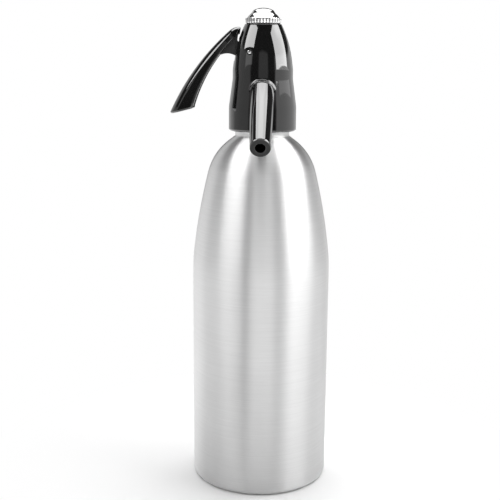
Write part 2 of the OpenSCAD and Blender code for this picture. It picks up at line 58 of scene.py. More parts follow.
# the spout's axis starts at (0, -SPOUT_Y, SPOUT_Z) and drops; lengths along it count from there
SPOUT_Y, SPOUT_Z, SPOUT_DROP = 19.67, 254.6, math.radians(30)
SPOUT_STEP, SPOUT_LEN = -4.0, 54.8
SPOUT_ROOT_R, SPOUT_TIP_R, SPOUT_BORE_R, SPIGOT_R = 7.75, 6.15, 3.1, 5.0
SPOUT_BOW = 0.48
LIFT, LIFT_END, LIFT_RUN = 1.1, 12, 16
LIP = 0.45  # wall of the casing's collar round the spout
PORT_FACE, PORT_Z, PORT_CAP_R = 21.17, 256.0, 9.5
PLAY = 0.04  # gap between a fixed piece and its seat


def mix(a, b, t):
    return a + (b - a) * t


def ease(t, q=0.12):
    """From 0 to 1 at a steady slope with short rounded ends."""
    if t < q:
        return t * t / (2 * q * (1 - q))
    if t > 1 - q:
        return 1 - (1 - t) ** 2 / (2 * q * (1 - q))
    return (t - q / 2) / (1 - q)


def head_r(h):
    """Radius of the casing at h above its lower edge."""
    if h < FLARE_H:
        return BASE_D / 2
    if h < WAIST_H:
        return mix(BASE_D, WAIST_D, ease((h - FLARE_H) / (WAIST_H - FLARE_H))) / 2
    if h < CROWN_H:
        return WAIST_D / 2
    t = (h - CROWN_H) / (HEAD_H - CROWN_H)
    return mix(WAIST_D, TOP_D, t) / 2 + 4 * CROWN_BOW * t * (1 - t) - CROWN_FALL * t * (1 - t) ** 4


# half the length of the lever's pin, whose ends lie just inside the casing's wall
PIN_HALF = math.sqrt(head_r(PIVOT[1] - SKIRT_Z) ** 2 - PIVOT[0] ** 2) - 0.5


def spout_lift(s, up):
    """How much fuller the spout is on top near its root; up is the sine of the angle round it."""
    return LIFT * (np.clip(LIFT_END - s, 0, LIFT_RUN) / LIFT_RUN) ** 2 * np.clip(up, 0, 1) ** 1.5


def spout_r(s, t):
    """Radius of the spout at s along it and angle t: a taper with a slight bow and the lift."""
    u = (s - SPOUT_STEP) / (SPOUT_LEN - SPOUT_STEP)
    bow = SPOUT_BOW * u * (1 - u)
    return float(mix(SPOUT_ROOT_R, SPOUT_TIP_R, u) + bow + spout_lift(s, math.sin(t)))


# ---------------------------------------------------------------- mesh helpers
def bow(a, b, s):
    """The circle through a and b that bows by s to the right of the way from a to b: its centre,
    its radius, the way and its right as unit vectors, and half the angle between a and b."""
    d = b - a
    length = np.hypot(*d)
    u = d / length
    w = np.array([u[1], -u[0]])
    r = (length * length / 4 + s * s) / (2 * s)
    return (a + b) / 2 + w * (s - r), r, u, w, math.asin(length / 2 / r)


def arc(a, b, s, n):
    """Points after a, up to b, on the arc with bow s, in n steps."""
    c, r, u, w, half = bow(np.array(a, float), np.array(b, float), s)
    turns = [half * (2 * i / n - 1) for i in range(1, n + 1)]
    return [tuple(c + r * (w * math.cos(t) + u * math.sin(t))) for t in turns]


def corner(c, r, a0, a1, n):
    """Points round a corner with centre c and radius r, from angle a0 to a1 in degrees."""
    turns = [math.radians(mix(a0, a1, i / n)) for i in range(n + 1)]
    return [(c[0] + r * math.cos(t), c[1] + r * math.sin(t)) for t in turns]


def line(a, b, n):
    """Points after a, up to b, in n steps."""
    return [(mix(a[0], b[0], i / n), mix(a[1], b[1], i / n)) for i in range(1, n + 1)]


def new_object(name, verts, faces, material, matrix=None, sharp=35):
    """A smooth-shaded mesh from points in millimetres; edges over sharp degrees stay sharp."""
    mesh = bpy.data.meshes.new(name)
    mesh.from_pydata([tuple(p) for p in np.array(verts, float) * MM], [], faces)
    if matrix is not None:
        mesh.transform(matrix)
    mesh.validate()
    obj = bpy.data.objects.new(name, mesh)
    bpy.context.scene.collection.objects.link(obj)
    finish_mesh(mesh, sharp)
    if material:
        mesh.materials.append(material)
    return obj


def finish_mesh(mesh, sharp=35):
    bm = bmesh.new()
    bm.from_mesh(mesh)
    bmesh.ops.remove_doubles(bm, verts=bm.verts, dist=1e-7)
    bmesh.ops.recalc_face_normals(bm, faces=bm.faces)
    bm.to_mesh(mesh)
    bm.free()
    mesh.shade_smooth()
    mesh.set_sharp_from_angle(angle=math.radians(sharp))


def rings_to_mesh(rings, closed=True):
    """Vertices and quads through rings of points; the first joins the last where closed."""
    n = len(rings[0])
    verts = [p for ring in rings for p in ring]
    faces = []
    count = len(rings) if closed else len(rings) - 1
    for i in range(count):
        a, b = i * n, ((i + 1) % len(rings)) * n
        for k in range(n):
            k2 = (k + 1) % n
            faces.append((a + k, a + k2, b + k2, b + k))
    return verts, faces


def revolve(name, profile, material, segments=160, matrix=None, sharp=35, radius=None):
    """A solid of revolution; a profile that touches the axis is capped there.
    radius(r, z, angle) may change a point's radius."""
    verts, faces, rows = [], [], []
    for r, z in profile:
        if r < 1e-6:
            verts.append((0, 0, z))
            rows.append([len(verts) - 1])
            continue
        row = []
        for k in range(segments):
            t = 2 * math.pi * k / segments
            rr = radius(r, z, t) if radius else r
            verts.append((rr * math.cos(t), rr * math.sin(t), z))
            row.append(len(verts) - 1)
        rows.append(row)
    pairs = list(zip(rows[:-1], rows[1:]))
    if len(rows[0]) > 1 and len(rows[-1]) > 1:
        pairs.append((rows[-1], rows[0]))
    for a, b in pairs:
        for k in range(segments):
            k2 = (k + 1) % segments
            if len(a) == 1 and len(b) == 1:
                break
            if len(a) == 1:
                faces.append((a[0], b[k2], b[k]))
            elif len(b) == 1:
                faces.append((a[k], a[k2], b[0]))
            else:
                faces.append((a[k], a[k2], b[k2], b[k]))
    return new_object(name, verts, faces, material, matrix, sharp)


def along(origin, direction):
    """Matrix, in metres, that puts a shape made along +Z at origin, pointing along direction."""
    z = Vector(direction).normalized()
    x = Vector((1, 0, 0))
    if abs(z.dot(x)) > 0.9:
        x = Vector((0, 0, 1))
    y = z.cross(x).normalized()
    x = y.cross(z)
    m = Matrix((x, y, z)).transposed().to_4x4()
    m.translation = Vector(origin) * MM
    return m


SPOUT_DIR = (0, -math.cos(SPOUT_DROP), -math.sin(SPOUT_DROP))
SPOUT_M = along((0, -SPOUT_Y, SPOUT_Z), SPOUT_DIR)
PORT_M = along((0, 0, PORT_Z), (0, 1, 0))


def cylinder(r, z0, z1, matrix=None, segments=96):
    return revolve("cutter", [(0, z0), (r, z0), (r, z1), (0, z1)], None, segments, matrix)


def extruded(name, near, far, material=None):
    """A solid between two outlines that have the same number of points."""
    n = len(near)
    faces = [tuple(range(n)), tuple(range(2 * n - 1, n - 1, -1))]
    faces += [(i, i + n, (i + 1) % n + n, (i + 1) % n) for i in range(n)]
    return new_object(name, near + far, faces, material)


def prism(points, half, name="cutter", material=None, bevel=0.0):
    """Outline in the XZ plane, extruded to both sides of it."""
    obj = extruded(name, [(x, -half, z) for x, z in points], [(x, half, z) for x, z in points], material)
    if bevel:
        modify(obj, "BEVEL", width=bevel * MM, segments=4, limit_method="ANGLE",
               angle_limit=math.radians(40))
    return obj


def modify(obj, kind, **settings):
    """Adds a modifier and applies it to the mesh."""
    mod = obj.modifiers.new(kind, kind)
    for key, value in settings.items():
        setattr(mod, key, value)
    dg = bpy.context.evaluated_depsgraph_get()
    mesh = bpy.data.meshes.new_from_object(obj.evaluated_get(dg))
    obj.modifiers.clear()
    old = obj.data
    obj.data = mesh
    bpy.data.meshes.remove(old)


def cut(obj, cutters, operation="DIFFERENCE"):
    """Takes the cutters out of the object, or joins them to it, and deletes them."""
    for c in cutters:
        modify(obj, "BOOLEAN", object=c, operation=operation, solver="EXACT", material_mode="TRANSFER")
        bpy.data.objects.remove(c)


# ---------------------------------------------------------------- materials
def grey(v):
    return (v, v, v)


class Graph:
    """A small helper that wires shader nodes."""

    def __init__(self, tree, output):
        tree.nodes.clear()
        self.tree = tree
        self.out = self.node(output)

    def node(self, kind, inputs=None, **props):
        """A new node; an input that is given a socket is linked to it, and any other is set."""
        n = self.tree.nodes.new(kind)
        for key, value in props.items():
            setattr(n, key, value)
        for key, value in (inputs or {}).items():
            if hasattr(value, "is_output"):
                self.tree.links.new(value, n.inputs[key])
            else:
                n.inputs[key].default_value = value
        return n

    def math(self, op, *values, clamp=False):
        n = self.node("ShaderNodeMath", dict(enumerate(values)), operation=op, use_clamp=clamp)
        return n.outputs[0]

    def step(self, value, lo, hi):
        """From 0 to 1 with soft ends while the value goes from lo to hi."""
        n = self.node("ShaderNodeMapRange", {"Value": value, "From Min": lo, "From Max": hi},
                      interpolation_type="SMOOTHSTEP")
        return n.outputs["Result"]

    def blend(self, factor, a, b):
        return self.node("ShaderNodeMix", {"Factor": factor, "A": a, "B": b}).outputs["Result"]

    def by_azimuth(self, direction, stops):
        """The value that stops of (azimuth, value) give for a direction, and its x, y and z."""
        parts = self.node("ShaderNodeSeparateXYZ", {0: direction}).outputs
        turn = self.math("ARCTAN2", parts["X"], self.math("MULTIPLY", parts["Y"], -1.0))
        share = self.math("MULTIPLY_ADD", turn, 0.5 / math.pi, 0.5)
        ramp = self.node("ShaderNodeValToRGB", {0: share})
        band = ramp.color_ramp.elements
        band[0].color, band[1].color = (*grey(stops[0][1]), 1), (*grey(stops[-1][1]), 1)
        for azimuth, value in stops[1:-1]:
            band.new(azimuth / 360 + 0.5).color = (*grey(value), 1)
        return ramp.outputs["Color"], [parts[k] for k in "XYZ"]


class Shader(Graph):
    """The nodes of a new material, with patterns in the piece's own coordinates."""

    def __init__(self, name):
        self.mat = bpy.data.materials.new(name)
        self.mat.use_nodes = True
        super().__init__(self.mat.node_tree, "ShaderNodeOutputMaterial")

    def noise(self, scale, detail=3.0, rough=0.5, stretch=(1, 1, 1)):
        place = self.node("ShaderNodeTexCoord").outputs["Object"]
        place = self.node("ShaderNodeMapping", {"Vector": place, "Scale": stretch}).outputs["Vector"]
        n = self.node("ShaderNodeTexNoise", {"Vector": place, "Scale": scale, "Detail": detail,
                                             "Roughness": rough})
        return n.outputs["Fac"]

    def ranged(self, value, lo, hi, to_lo, to_hi):
        n = self.node("ShaderNodeMapRange", {"Value": value, "From Min": lo, "From Max": hi,
                                             "To Min": to_lo, "To Max": to_hi})
        return n.outputs["Result"]

    def tint(self, value, low, high, start=0.3, end=0.7):
        """The colour low up to start, high from end on."""
        n = self.node("ShaderNodeValToRGB", {"Fac": value})
        for e, position, colour in zip(n.color_ramp.elements, (start, end), (low, high)):
            e.position = position
            e.color = (*colour, 1)
        return n.outputs["Color"]

    def bump(self, height, distance, strength=1.0, normal=None):
        inputs = {"Height": height, "Distance": distance, "Strength": strength}
        if normal is not None:
            inputs["Normal"] = normal
        return self.node("ShaderNodeBump", inputs).outputs["Normal"]

    def principled(self, **inputs):
        keys = {k.replace("_", " "): v for k, v in inputs.items()}
        p = self.node("ShaderNodeBsdfPrincipled", keys)
        self.tree.links.new(p.outputs[0], self.out.inputs["Surface"])
        return self.mat


def black_gloss():
    """Moulded black plastic with a deep gloss, faint waviness and a few fine rubs."""
    s = Shader("black_gloss")
    wave = s.noise(160, 2)
    grain = s.noise(2600, 3)
    rub = s.noise(900, 4, 0.65, (1, 1, 6))
    colour = s.tint(wave, grey(0.003), grey(0.005))
    rough = s.ranged(rub, 0.45, 0.75, 0.03, 0.065)
    n = s.bump(wave, 0.00005, 0.2)
    n = s.bump(grain, 0.000002, 0.2, n)
    return s.principled(Base_Color=colour, Roughness=rough, Normal=n, IOR=1.5,
                        Specular_IOR_Level=0.8, Coat_Weight=0.7, Coat_Roughness=0.03, Coat_IOR=1.5)


def black_textured():
    """The same plastic where the mould is eroded to a fine dull grain."""
    s = Shader("black_textured")
    grain = s.noise(2400, 4, 0.6)
    soft = s.noise(300, 2)
    colour = s.tint(soft, grey(0.006), grey(0.011))
    rough = s.ranged(grain, 0.3, 0.7, 0.34, 0.5)
    n = s.bump(grain, 0.00006, 0.6)
    return s.principled(Base_Color=colour, Roughness=rough, Normal=n, Specular_IOR_Level=0.35)


def brushed_aluminium():
    """Aluminium brushed round the bottle: fine rings that stretch the highlights upright."""
    s = Shader("brushed_aluminium")
    fine = s.noise(1.0, 3, 0.6, (60, 60, 9000))
    broad = s.noise(1.0, 3, 0.5, (25, 25, 1400))
    cloud = s.noise(28, 3)
    blend = s.math("ADD", s.math("MULTIPLY", fine, 0.6), s.math("MULTIPLY", broad, 0.4))
    colour = s.tint(blend, grey(0.82), grey(0.90), 0.35, 0.65)
    rough = s.math("ADD", s.ranged(blend, 0.3, 0.7, 0.38, 0.44), s.math("MULTIPLY", cloud, 0.04))
    tangent = s.node("ShaderNodeTangent", direction_type="RADIAL", axis="Z").outputs["Tangent"]
    n = s.bump(blend, 0.00002, 0.5)
    return s.principled(Base_Color=colour, Metallic=1.0, Roughness=rough, Normal=n, Anisotropic=1.0,
                        Anisotropic_Rotation=0.25, Tangent=tangent)


def polished_chrome():
    """Bright plating with a faint haze of wiping."""
    s = Shader("polished_chrome")
    cloud = s.noise(140, 3)
    rub = s.noise(1800, 4, 0.6, (1, 1, 4))
    colour = s.tint(cloud, grey(0.83), grey(0.90))
    rough = s.ranged(rub, 0.4, 0.8, 0.04, 0.14)
    n = s.bump(cloud, 0.00005, 0.2)
    return s.principled(Base_Color=colour, Metallic=1.0, Roughness=rough, Normal=n)


def turned_metal(name, low, high, roughness):
    """Bare metal with the fine rings of a lathe or a die."""
    s = Shader(name)
    rings = s.noise(1.0, 3, 0.6, (300, 300, 7000))
    cloud = s.noise(120, 3)
    colour = s.tint(cloud, low, high)
    rough = s.ranged(rings, 0.3, 0.7, roughness, roughness + 0.14)
    n = s.bump(rings, 0.00002, 0.4)
    return s.principled(Base_Color=colour, Metallic=1.0, Roughness=rough, Normal=n)


def soft_rubber():
    """Dull black rubber of washers and rings."""
    s = Shader("seal_rubber_fine")
    grain = s.noise(3000, 3)
    cloud = s.noise(200, 3)
    colour = s.tint(cloud, grey(0.008), grey(0.016))
    rough = s.ranged(grain, 0.3, 0.7, 0.5, 0.72)
    return s.principled(Base_Color=colour, Roughness=rough, Normal=s.bump(grain, 0.00004, 0.5),
                        Specular_IOR_Level=0.25)


def milky_plastic():
    """Matt white plastic of the tubes inside, with a little depth."""
    s = Shader("milky_plastic")
    cloud = s.noise(90, 3)
    grain = s.noise(2500, 3)
    colour = s.tint(cloud, (0.80, 0.80, 0.77), (0.88, 0.88, 0.86))
    rough = s.ranged(grain, 0.3, 0.7, 0.32, 0.48)
    return s.principled(Base_Color=colour, Roughness=rough, Normal=s.bump(grain, 0.00002, 0.4),
                        Subsurface_Weight=0.15)


GLOSS = black_gloss()
DULL = black_textured()
ALU = brushed_aluminium()
CHROME = polished_chrome()
STEEL = turned_metal("drawn_steel", grey(0.55), grey(0.68), 0.2)
CORE = turned_metal("turned_core", grey(0.62), grey(0.74), 0.28)
BRASS = turned_metal("turned_brass", (0.62, 0.44, 0.17), (0.80, 0.60, 0.28), 0.22)
RUBBER = soft_rubber()
MILKY = milky_plastic()

BY_SLOT = {"bottle_metal": ALU, "black_plastic": GLOSS, "white_plastic": MILKY, "chrome": CHROME,
           "steel": STEEL, "core_metal": CORE, "brass": BRASS, "seal_rubber": RUBBER}
SLOT_OF = {p["node"]: p["material_slot"] for p in frame["record"]["subparts"]}
for node_name, node_obj in NODES.items():
    node_obj.data.materials.clear()
    node_obj.data.materials.append(BY_SLOT[SLOT_OF[node_name]])


def piece(obj, body, node):
    """Puts a finer piece in the node's place, on its body, and hides the node."""
    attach(obj, body)
    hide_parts(node)


# ---------------------------------------------------------------- bottle
def smoothed(points, rounds, keep=2):
    """Evens a line out; the points at its ends stay."""
    p = np.array(points, float)
    for _ in range(rounds):
        q = p.copy()
        q[keep:-keep] = 0.5 * p[keep:-keep] + 0.25 * (p[keep - 1:-keep - 1] + p[keep + 1:len(p) - keep + 1])
        p = q
    return [tuple(v) for v in p]


def build_bottle():
    r, wall, foot = 45.0, 1.6, 3.2
    ring_r, hollow, hollow_bow = 36, 5, 1.25
    straight, shoulder, shoulder_in = (r, 147), (35.4, 204), (33.8, 204)
    neck_line, fillet_at, fillet = (18.4, 228.6), (18.4, 229.7), 1.1
    neck_r, bore_r, bore_z = 17.3, 15.3, 231
    side = [(r, foot)] + line((r, foot), straight, 60) + arc(straight, shoulder, 1.1, 40)
    side += arc(shoulder, neck_line, 3.2, 40)
    side = smoothed(side, 12)
    outer = [(0, hollow)] + arc((0, hollow), (ring_r, 0), -hollow_bow, 16)
    outer += line((ring_r, 0), (r - foot, 0), 3)
    outer += corner((r - foot, foot), foot, -90, 0, 12)[1:-1] + side[:-1]
    outer += corner(fillet_at, fillet, -76, -180, 8)
    outer += line((neck_r, fillet_at[1]), (neck_r, MOUTH_Z - 0.4), 6)
    outer += [(neck_r - 0.12, MOUTH_Z - 0.1), (neck_r - 0.4, MOUTH_Z)]
    inner = [(bore_r + 0.3, MOUTH_Z), (bore_r, MOUTH_Z - 0.3), (bore_r, bore_z)]
    inner += arc((bore_r, bore_z), shoulder_in, -2.9, 16)
    inner += arc(shoulder_in, (r - wall, straight[1]), -1.1, 16)
    inner += [(r - wall, foot)] + corner((r - foot, foot), foot - wall, 0, -90, 5)[1:]
    inner += [(ring_r, wall)] + arc((ring_r, wall), (0, hollow + wall), hollow_bow, 10)
    return revolve("bottle_shell", outer + inner, ALU, 240, sharp=50)


piece(build_bottle(), "bottle", "bottle")


# ---------------------------------------------------------------- head casing
def casing_radius(theta, z):
    """Outermost radius of the casing at each angle and height, with the spout's collar and the
    port's seat blended in by smooth unions."""
    base = np.array([head_r(v) for v in z - SKIRT_Z])
    r = np.arange(17.0, 31.0, 0.04)
    start = np.array([0, -SPOUT_Y, SPOUT_Z])
    way = np.array(SPOUT_DIR)
    up = np.array([0, SPOUT_DIR[2], -SPOUT_DIR[1]])
    collar_end, collar_blend, seat_blend = -3.4, 0.9, 1.2
    x = r[None, :] * np.cos(theta)[:, None]
    y = r[None, :] * np.sin(theta)[:, None]
    rows = np.arange(len(theta))
    out = np.empty((len(z), len(theta)))
    for i in range(len(z)):
        if not SEAT_Z0 < z[i] < SEAT_Z1:
            out[i] = base[i]
            continue
        p = np.stack([x - start[0], y - start[1], np.full_like(x, z[i] - start[2])], -1)
        s = p @ way
        radial = np.linalg.norm(p - s[..., None] * way, axis=-1)
        lift = spout_lift(s, p @ up / np.maximum(radial, 0.1))
        collar = np.maximum(radial - (SPOUT_ROOT_R + LIP + lift), s - collar_end)
        seat = np.maximum(np.hypot(x, z[i] - PORT_Z) - (PORT_CAP_R + 0.3), y - PORT_FACE)
        seat = np.where(y > 0, seat, 9.0)  # none at the front
        field = r[None, :] - base[i] + 0 * x
        for other, k in ((collar, collar_blend), (seat, seat_blend)):
            w = np.clip(k - np.abs(field - other), 0, None) / k
            field = np.minimum(field, other) - w * w * k / 4
        # the last crossing from inside to outside, refined between two radii
        last = len(r) - 1 - np.argmax((field < 0)[:, ::-1], axis=1)
        last = np.clip(last, 0, len(r) - 2)
        f0, f1 = field[rows, last], field[rows, last + 1]
        out[i] = r[last] + (r[1] - r[0]) * np.clip(-f0 / (f1 - f0), 0, 1)
    return out


def rounded_box(w, z0, z1, r):
    """Outline in y and z: half width w, from z0 to z1, with corners of radius r."""
    centres = ((w - r, z1 - r), (r - w, z1 - r), (r - w, z0 + r), (w - r, z0 + r))
    return [p for k, c in enumerate(centres) for p in corner(c, r, 90 * k, 90 * k + 90, 6)]


def build_casing():
    n, rim, hem, skirt_in = 360, TOP_D / 2, 1.2, 17.5
    theta = np.arange(n) * 2 * math.pi / n
    low = [(skirt_in, SKIRT_Z), (19.0, SKIRT_Z)]
    low += corner((BASE_D / 2 - hem, SKIRT_Z + hem), hem, -90, 0, 6)
    z = np.concatenate([np.linspace(SKIRT_Z + 1.6, SEAT_Z0, 8, endpoint=False),
                        np.linspace(SEAT_Z0, SEAT_Z1, 110, endpoint=False),
                        np.linspace(SEAT_Z1, CASING_TOP - 0.35, 56)])
    # down the inside: the cap's bore, the core's chamber, the gasket's seat and the skirt
    cap_bore, core_r, core_top = 8.4, 12.5, 268.0
    seat_r, seat_z, skirt_bore, skirt_floor = 16.8, 245.7, 19.35, 233.7
    inside = [(rim - 0.05, CASING_TOP - 0.1), (rim - 0.35, CASING_TOP), (cap_bore + 0.1, CASING_TOP),
              (cap_bore, CASING_TOP - 0.2), (cap_bore, core_top), (core_r, core_top), (core_r, seat_z),
              (seat_r, seat_z), (seat_r, MOUTH_Z), (skirt_bore, MOUTH_Z), (skirt_bore, skirt_floor),
              (skirt_in, skirt_floor)]
    rows = [([r] * n, h) for r, h in low] + list(zip(casing_radius(theta, z), z))
    rows += [([r] * n, h) for r, h in inside]
    rings = [[(r * math.cos(t), r * math.sin(t), h) for r, t in zip(row, theta)] for row, h in rows]
    obj = new_object("casing_shell", *rings_to_mesh(rings), GLOSS)
    slot = rounded_box(4.3, PIVOT[1] - 5.6, PIVOT[1] + 8, 1.6)
    cutters = [extruded("cutter", [(-30, *p) for p in slot], [(0, *p) for p in slot])]
    across = along((PIVOT[0], 0, PIVOT[1]), (0, 1, 0))
    cutters.append(cylinder(PIN_R + PLAY, -22, 22, across, 48))
    cutters += [cylinder(PIN_R + 0.5, s * PIN_HALF, s * 24, across, 48) for s in (-1, 1)]
    hole_start, hole_end = SPOUT_STEP - PLAY, 16
    hole = [(9, s) for s in np.linspace(hole_start, hole_end, 12)]
    cutters.append(revolve("cutter", [(0, hole_start)] + hole + [(0, hole_end)], None, 96, SPOUT_M,
                           radius=lambda r, s, t: spout_r(s, t) + PLAY))
    cutters.append(cylinder(SPIGOT_R + PLAY, -12, -1, SPOUT_M, 64))
    cutters.append(cylinder(5 + PLAY, 8, 40, PORT_M, 64))
    cut(obj, cutters)
    finish_mesh(obj.data, 40)
    return obj


piece(build_casing(), "head", "head_casing")


# ---------------------------------------------------------------- spout
def build_spout():
    tip, inlet, edge, end = 0.45, 0.4, SPOUT_STEP + 0.1, SPOUT_LEN - 0.3
    back_end, groove_r, groove = -10, 3.8, (-9, -7.2)  # the ring sits in the groove
    outer = [(SPOUT_BORE_R, back_end), (groove_r, back_end), (groove_r, -9.2), (SPIGOT_R, -9.2)]
    outer += [(SPIGOT_R, groove[0]), (groove_r, groove[0]), (groove_r, groove[1]), (SPIGOT_R, groove[1])]
    outer += [(SPIGOT_R, SPOUT_STEP), (SPOUT_ROOT_R - 0.1, SPOUT_STEP), (SPOUT_ROOT_R, edge)]
    outer += line((SPOUT_ROOT_R, edge), (SPOUT_TIP_R + 0.02, end - tip), 40)
    outer += corner((SPOUT_TIP_R - tip, end - tip), tip, 4, 90, 10)
    outer += [(SPOUT_BORE_R + 0.45, end)]
    outer += corner((SPOUT_BORE_R + inlet, end - inlet), inlet, 90, 180, 5)

    def radius(r, s, t):
        if r < SPIGOT_R + 0.1 or s > end - tip:
            return r
        return spout_r(s, t) - (0.1 if s < edge else 0)
    spout = revolve("spout_shell", outer, GLOSS, 160, SPOUT_M, sharp=40, radius=radius)
    # the flat end is dull
    spout.data.materials.append(DULL)
    back = SPOUT_M.inverted()
    for face in spout.data.polygons:
        if (back @ face.center).z > (end - 0.02) * MM:
            face.material_index = 1
    return spout


piece(build_spout(), "head", "spout_tube")


# ---------------------------------------------------------------- lever
# ends of the blade's back and belly, in x and z
BACK_TOP = np.array([PIVOT[0] - 11, PIVOT[1] + 15.3])
BACK_TIP = np.array([PIVOT[0] - 51.2, PIVOT[1] - 37.4])
BELLY_TOP = BACK_TOP + np.array([-9, -18])
BELLY_TIP = BACK_TIP + np.array([15.5, 4.1])


def blade_section(thick, wide, crown, hull):
    """Closed outline (y, height): crowned back, sides that lean in towards it, hollow belly."""
    lean = 0.2 * max(0.5, thick - crown - hull)
    top = wide - lean
    back = [(-y, thick - crown * (y / wide) ** 2) for y in np.linspace(-top, top, 37)]
    side = [(mix(-top, -wide, t), mix(back[-1][1], hull, t)) for t in np.linspace(0, 1, 12)[1:-1]]
    belly = [(y, hull * (y / wide) ** 2) for y in np.linspace(-wide, wide, 29)]
    other = [(-y, z) for y, z in reversed(side)]
    p = np.array(back + side + belly + other)
    for _ in range(3):
        p = 0.5 * p + 0.25 * (np.roll(p, 1, axis=0) + np.roll(p, -1, axis=0))
    return p


def build_blade():
    """The blade from its hook over the casing to its tip, as sections between back and belly."""
    cb, rb = bow(BACK_TOP, BACK_TIP, 3.7)[:2]
    ci, ri = bow(BELLY_TOP, BELLY_TIP, 1.5)[:2]
    pin = np.array(PIVOT)

    def angle(c, p):
        return math.atan2(p[1] - c[1], p[0] - c[0])

    def on(c, r, t):
        return c + r * np.array([math.cos(t), math.sin(t)])

    b0, b1 = angle(cb, pin + (-13.6, 13.1)), angle(cb, BACK_TIP + (-0.3, -0.55))
    i0, i1 = angle(ci, pin + (-7.6, 10.9)), angle(ci, BELLY_TIP + (-0.3, -0.55))
    join = on(cb, rb, b0)
    hook = [pin + (-6.9, 15.5), pin + (-9.9, 16.0), join]
    stations, bend, hollow = 160, 0.09, 0.3
    rings = []

    def add(back, belly, wide, crown, hull, shift, inset):
        n = back - belly
        thick = np.hypot(*n)
        n = n / thick
        ahead = np.array([n[1], -n[0]])
        if ahead @ (BACK_TIP - BACK_TOP) < 0:
            ahead = -ahead
        sec = blade_section(thick, wide, crown, hull)
        mid = thick / 2
        rings.append([(q[0], y * (wide - inset) / wide, q[1]) for y, z in sec for q in
                      [belly + n * (mid + (z - mid) * (thick - 2 * inset) / thick) + ahead * shift]])

    for i in range(stations + 1):
        u = i / stations
        if u < bend:
            v = u / bend
            back = (1 - v) ** 2 * hook[0] + 2 * v * (1 - v) * hook[1] + v * v * hook[2]
        else:
            back = on(cb, rb, mix(b0, b1, (u - bend) / (1 - bend)))
        belly = on(ci, ri, mix(i0, i1, u ** 1.06))
        # the back's crown and the half width, which narrows at the hook
        crown = float(np.interp(u, (0, 0.45, 0.75, 1), (1.8, 4.4, 6.2, 7.6)))
        wide = mix(5.2, 8.5, min(1, max(0, (u - 0.18) / 0.78))) - 2.2 * (1 - min(1, u / 0.12)) ** 2
        shape = (wide, crown, hollow)
        if i in (0, stations):  # rounded ends
            sign, r = (-1, 0.7) if i == 0 else (1, 1.2)
            turns = [math.radians(a) for a in np.linspace(0, 90, 8)]
            for a in (reversed(turns) if i == 0 else turns):
                add(back, belly, *shape, sign * r * math.sin(a), r * (1 - math.cos(a)))
        else:
            add(back, belly, *shape, 0.0, 0.0)
    verts, faces = rings_to_mesh(rings, closed=False)
    m = len(rings[0])
    for base in (0, (len(rings) - 1) * m):
        verts.append(tuple(np.mean(verts[base:base + m], axis=0)))
        faces += [(len(verts) - 1, base + k, base + (k + 1) % m) for k in range(m)]
    return new_object("lever_shell", verts, faces, GLOSS, sharp=50)


def disc(r, half, edge):
    """Profile of a disc from -half to half, with bevelled rims."""
    return [(0, -half), (r - edge, -half), (r, edge - half), (r, half - edge), (r - edge, half), (0, half)]


def build_lever():
    """Blade, web, hub on the pin, and the fork whose nose lifts the collar."""
    px, pz = PIVOT
    half = 4.0  # half the width of web, hub and fork
    web_low = (px - 9.5, pz - 2.2)
    web = [(px - 7.6, pz + 11.4), (px - 8.1, pz + 10.6), (px - 8.5, pz + 7.4), (px - 6, pz + 5)]
    web += [(px, pz + 3.5), (px, pz - 3.5), web_low]
    web += arc(web_low, tuple(BELLY_TOP + [1, 1]), 1.1, 14)
    web += [tuple(BELLY_TOP + [-2.4, 2]), (px - 20, pz + 4), (px - 13.4, pz + 10)]
    parts = [prism(web, half, material=DULL, bevel=0.45)]
    across = along((px, 0, pz), (0, 1, 0))
    parts.append(revolve("hub", disc(3.8, half, 0.3), DULL, 64, across))
    arm_x, arm = px + 8, 1.5
    box = [(px, pz - arm), (arm_x, pz - arm), (arm_x, pz + arm), (px, pz + arm)]
    parts.append(prism(box, half, material=DULL))
    parts.append(revolve("nose", disc(2, half, 0.2), DULL, 48, along((arm_x, 0, pz), (0, 1, 0))))
    lever = build_blade()
    cut(lever, parts, "UNION")
    stem_r = 2.3
    cut(lever, [cylinder(PIN_R + 0.06, -6, 6, across, 48),
                cylinder(stem_r, pz - 6, pz + 6, along((0, 0, 0), (0, 0, 1)), 48),
                prism([(0, pz - 6), (6, pz - 6), (6, pz + 6), (0, pz + 6)], stem_r)])
    finish_mesh(lever.data, 42)
    return lever


piece(build_lever(), "lever", "lever")


# ---------------------------------------------------------------- caps, washer and pin
def fluted(radius, count, centre, flute):
    """Radius hook for revolve: hollows of radius flute round a rim, their centres at centre."""
    pitch, rim = 2 * math.pi / count, 1.2

    def at(r, z, t):
        if r < radius - rim:
            return r
        d = (t + pitch / 2) % pitch - pitch / 2
        reach = centre * math.sin(d)
        if abs(reach) < flute:
            return min(r, centre * math.cos(d) - math.sqrt(flute * flute - reach * reach))
        return r
    return at


